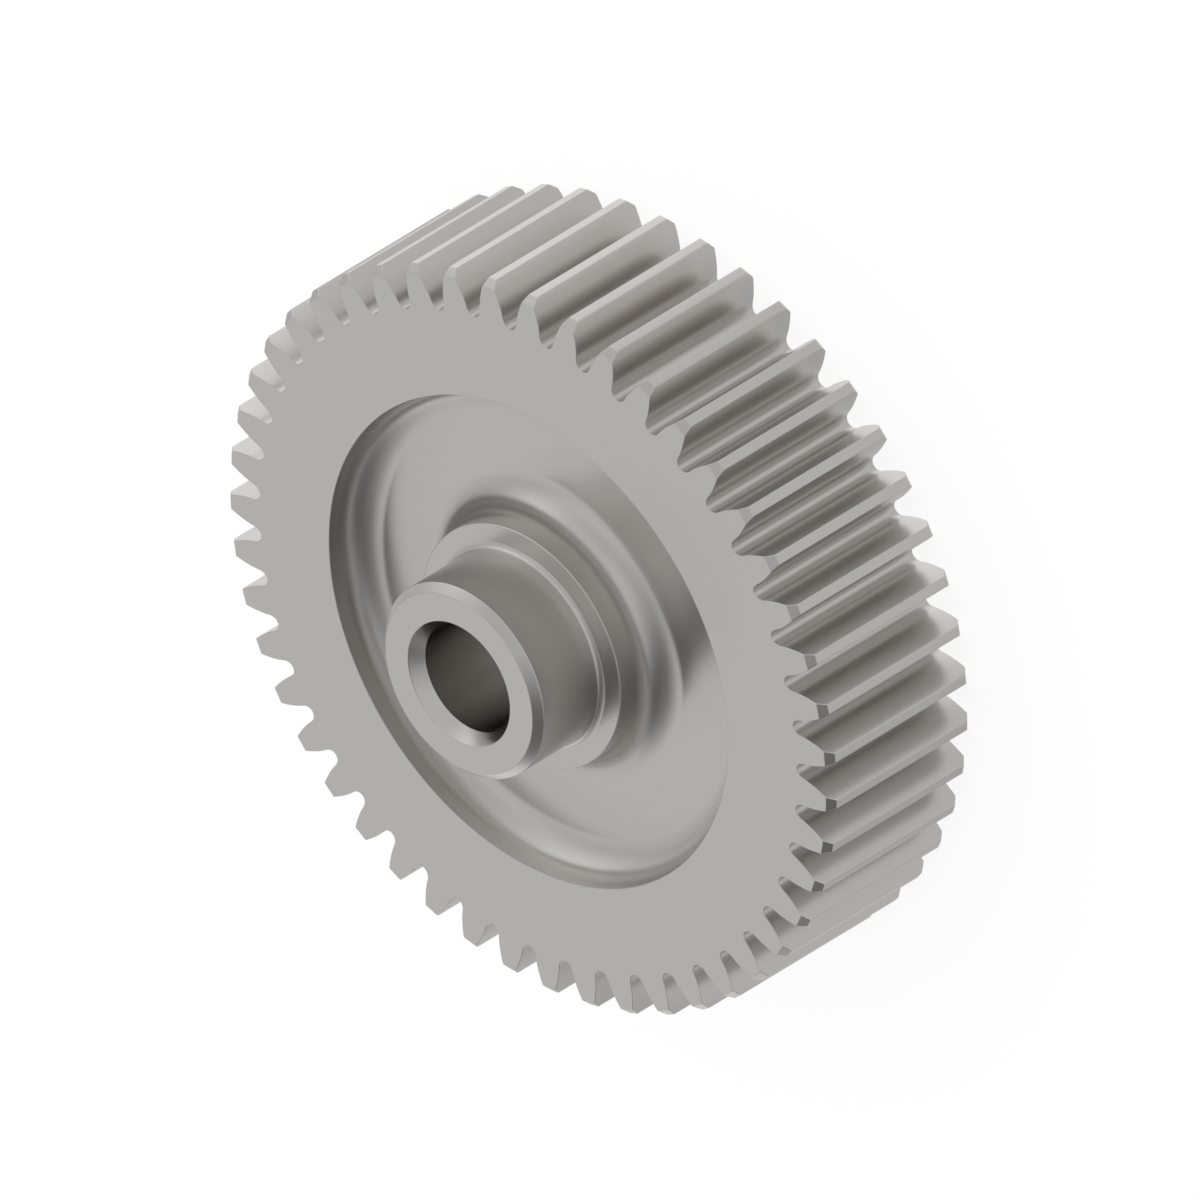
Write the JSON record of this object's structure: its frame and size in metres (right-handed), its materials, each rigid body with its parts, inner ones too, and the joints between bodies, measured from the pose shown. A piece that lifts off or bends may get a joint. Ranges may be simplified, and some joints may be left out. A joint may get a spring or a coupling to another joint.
{
  "type": "idler gear",
  "caption": "Spur idler gear in one piece, with a wide toothed rim, a recessed web, a shouldered hub on one side and a plain chamfered bore.",
  "frame": {"origin": "centre of the bore at the back face, which the gear stands on", "axes": "+Z along the bore axis towards the hub; a tooth is centred on +X"},
  "size_m": [0.1483, 0.1484, 0.056],
  "materials": {
    "steel": "satin, finely turned faces and hobbed teeth"
  },
  "bodies": {
    "root": {"idler_gear": "steel"}
  },
  "joints": []
}
